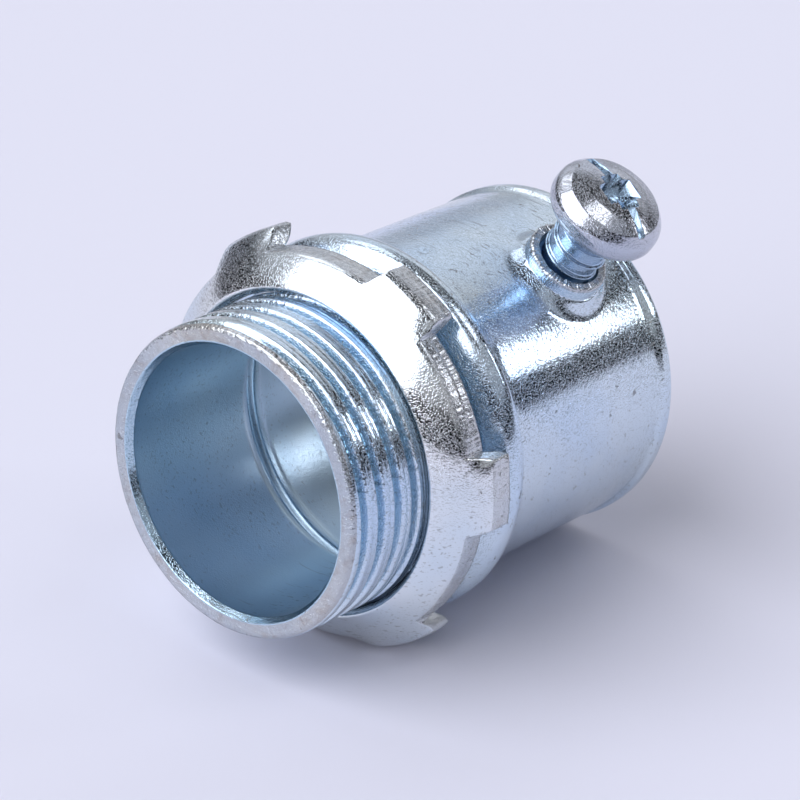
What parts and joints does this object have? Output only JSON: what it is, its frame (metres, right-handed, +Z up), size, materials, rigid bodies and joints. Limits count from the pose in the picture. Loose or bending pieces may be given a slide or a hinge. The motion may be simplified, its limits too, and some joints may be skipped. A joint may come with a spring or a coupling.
{
  "type": "set-screw conduit connector",
  "caption": "Zinc-plated steel set-screw connector for metal conduit: open threaded nose with a lobed locknut, shoulder bead, conduit sleeve and a side clamping screw.",
  "frame": {"origin": "bottom centre of the overall box, on the surface that the fitting lies on, resting on two lobes of the locknut and on the sleeve's rear rim", "axes": "+Y from the threaded nose towards the sleeve's open end, nose raised 3.63 degrees; +Z up; +X to the right seen from the nose"},
  "size_m": [0.027, 0.0304, 0.0287],
  "materials": {
    "body_zinc": "satin",
    "locknut_zinc": "satin",
    "screw_zinc": "satin"
  },
  "bodies": {
    "connector_body": {"connector_body": "body_zinc"},
    "locknut": {"locknut": "locknut_zinc"},
    "set_screw": {"set_screw": "screw_zinc"}
  },
  "joints": [
    {"name": "locknut_travel", "type": "slide", "parent": "connector_body", "child": "locknut", "axis": [0, -0.998, 0.0633], "range_m": [-0.0015, 0.012]},
    {"name": "set_screw_travel", "type": "slide", "parent": "connector_body", "child": "set_screw", "axis": [0.5373, 0.0534, 0.8417], "range_m": [-0.0036, 0.0012]}
  ]
}
